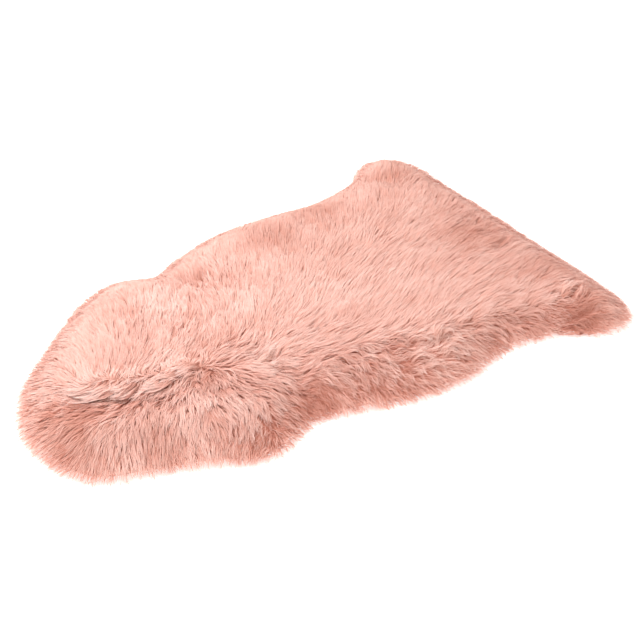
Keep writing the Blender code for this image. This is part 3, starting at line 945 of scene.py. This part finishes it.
def skin_material():
    """The suede side of the tanned skin: pale, matt, faintly mottled."""
    material, tree, shader = principled("suede_skin")
    place = tree.nodes.new("ShaderNodeTexCoord").outputs["Object"]
    cloud = noise(tree, 14.0, 5.0, place)
    colour = ramp(tree, cloud, ((0.3, (0.60, 0.36, 0.27)), (0.7, (0.74, 0.50, 0.40))))
    nap = noise(tree, 900.0, 4.0, place)
    bump = add_node(tree, "Bump", {"Strength": 0.35, "Distance": 0.0006, "Height": nap})
    feed(tree, shader, {"Base Color": colour, "Normal": bump.outputs["Normal"],
                        "Roughness": 0.92, "Sheen Weight": 0.25})
    return material


# -------- pieces
def link(thing):
    bpy.context.scene.collection.objects.link(thing)


def add_piece(name, mesh, material):
    """A piece of the rug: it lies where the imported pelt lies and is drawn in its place."""
    piece = bpy.data.objects.new(name, mesh)
    mesh.materials.append(material)
    link(piece)
    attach(piece, "root")
    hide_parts("pelt")
    return piece


def wool_pieces(wool, random):
    """All the strands, in six bands of equally many from neck to tail."""
    strands = joined([grow(wool, random) for grow in (grow_locks, grow_falling, grow_strays)])
    corners, normals = ribbons(random, strands)
    order = np.argsort(strands.points[:, 2, 0], kind="stable")
    material = wool_material()
    names = ("wool_neck", "wool_cheeks", "wool_shoulders", "wool_back", "wool_loin", "wool_rump")
    pieces = []
    for name, chosen in zip(names, np.array_split(order, len(names))):
        mesh = ribbon_mesh(name, corners[chosen], normals[chosen], strands.tones[chosen])
        pieces.append(add_piece(name, mesh, material))
    return pieces


def flat_filled(line, pitch):
    """Points and triangles that fill a closed line, the line's own points first."""
    low, high = line.min(axis=0), line.max(axis=0)
    x, y = np.meshgrid(np.arange(low[0], high[0], pitch), np.arange(low[1], high[1], pitch))
    clear = 0.4 * pitch
    inside = signed_distance(line, x, y) > clear
    points = [Vector(point) for point in line.tolist()]
    points += [Vector(point) for point in np.column_stack([x[inside], y[inside]]).tolist()]
    size = len(line)
    edges = [(index, (index + 1) % size) for index in range(size)]
    only_inside, tolerance = 1, 1e-7
    made = delaunay_2d_cdt(points, edges, [], only_inside, tolerance)
    return np.array([tuple(point) for point in made[0]]), [tuple(face) for face in made[2]]


def slab(name, line, pitch, top, bottom):
    """A closed solid inside a line, with that top over a flat underside."""
    places, faces = flat_filled(line, pitch)
    count, size = len(places), len(line)
    verts = np.concatenate([np.column_stack([places, top(places[:, 0], places[:, 1])]),
                            np.column_stack([places, np.full(count, bottom)])])
    ahead = [(index + 1) % size for index in range(size)]
    walls = [(index, index + count, ahead[index] + count, ahead[index]) for index in range(size)]
    if signed_area(line) < 0.0:
        walls = [wall[::-1] for wall in walls]
    under = [tuple(corner + count for corner in reversed(face)) for face in faces]
    mesh = bpy.data.meshes.new(name)
    mesh.from_pydata(verts.tolist(), [], faces + under + walls)
    mesh.validate()
    return mesh


def pushed_out(wool, line, distance):
    """A closed line moved outward over the floor by that distance."""
    falls = np.gradient(-wool.grid.blurred(wool.inward, RIM_BLUR), GRID_PITCH)
    return line + distance * unit(np.column_stack([wool.over(fall, line) for fall in falls]))


def underwool_piece(wool):
    """The body of wool that the strands stand on."""
    bottom = SKIN_TOP + UNDERWOOL_GAP

    def top(x, y):
        height = wool.grid.read(wool.top, x, y) - UNDERWOOL_DEPTH
        return np.maximum(height, bottom + UNDERWOOL_THINNEST)

    line = pushed_out(wool, wool.rim_line, UNDERWOOL_PAST_RIM)
    mesh = slab("underwool", line, UNDERWOOL_PITCH, top, bottom)
    mesh.shade_smooth()
    return add_piece("underwool", mesh, underwool_painted_shade_material())


def skin_piece(wool):
    """The tanned skin, a flat sheet on the floor."""
    def top(x, _y):
        return np.full(x.shape, SKIN_TOP)

    mesh = slab("skin", wool.skin_line, SKIN_PITCH, top, 0.0)
    return add_piece("skin", mesh, skin_material())


# -------- surroundings
def floor():
    """A plain white floor, a little below the rug's underside."""
    mesh = bpy.data.meshes.new("floor")
    half, below = 6.0, 0.0002
    corners = [(-half, -half, 0.0), (half, -half, 0.0), (half, half, 0.0), (-half, half, 0.0)]
    mesh.from_pydata(corners, [], [(0, 1, 2, 3)])
    material, tree, shader = principled("pale_floor")
    # The floor also glows: painted light that keeps it evenly white with hardly a shadow of the rug,
    # and lights the rug's rim from below.
    feed(tree, shader, {"Base Color": (0.92, 0.92, 0.92, 1.0), "Roughness": 0.8,
                        "Emission Color": (1.0, 1.0, 1.0, 1.0), "Emission Strength": 0.50})
    mesh.materials.append(material)
    plane = bpy.data.objects.new("floor", mesh)
    link(plane)
    plane.location.z = -below


def aim(thing, target):
    thing.rotation_euler = (Vector(target) - thing.location).to_track_quat("-Z", "Y").to_euler()


def softbox(name, place, size, power, colour=(1.0, 1.0, 1.0)):
    """A round soft light that points at the middle of the rug."""
    data = bpy.data.lights.new(name, "AREA")
    data.shape = "DISK"
    data.size = size
    data.energy = power
    data.color = colour
    lamp = bpy.data.objects.new(name, data)
    lamp.location = place
    link(lamp)
    aim(lamp, (0.0, 0.0, 0.0))


def lights():
    """A key light from the far side, a warm fill from the near one, and a warm room."""
    softbox("key", (-0.75, 0.85, 2.6), 1.1, 81.0)
    softbox("fill", (-0.5, -2.3, 2.3), 1.2, 18.0, (1.0, 0.94, 0.89))
    world = bpy.data.worlds.new("studio")
    world.use_nodes = True
    tree = world.node_tree
    feed(tree, tree.nodes["Background"], {"Color": (1.03, 0.885, 0.81, 1.0), "Strength": 0.765})
    bpy.context.scene.world = world


def camera():
    """A long lens from the near side, towards the neck's end, that looks down at the rug."""
    azimuth, elevation, distance = math.radians(-36.34), math.radians(37.0), 2.568
    target = Vector((0.048, -0.0055, 0.0))
    away = Vector((math.sin(azimuth) * math.cos(elevation),
                   -math.cos(azimuth) * math.cos(elevation), math.sin(elevation)))
    data = bpy.data.cameras.new("camera")
    data.lens = 90.0
    data.sensor_width = 36.0
    view = bpy.data.objects.new("camera", data)
    view.location = target + away * distance
    link(view)
    aim(view, target)
    bpy.context.scene.camera = view


def main():
    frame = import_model()
    random = np.random.default_rng(SEED)
    camera()
    wool = Wool(frame["nodes"]["pelt"])
    pieces = wool_pieces(wool, random)
    underwool = underwool_piece(wool)
    skin = skin_piece(wool)
    size = np.ptp(wool.skin_line, axis=0)
    area = abs(signed_area(wool.skin_line))
    floor()
    lights()
    bpy.context.scene.view_settings.view_transform = "Standard"


main()
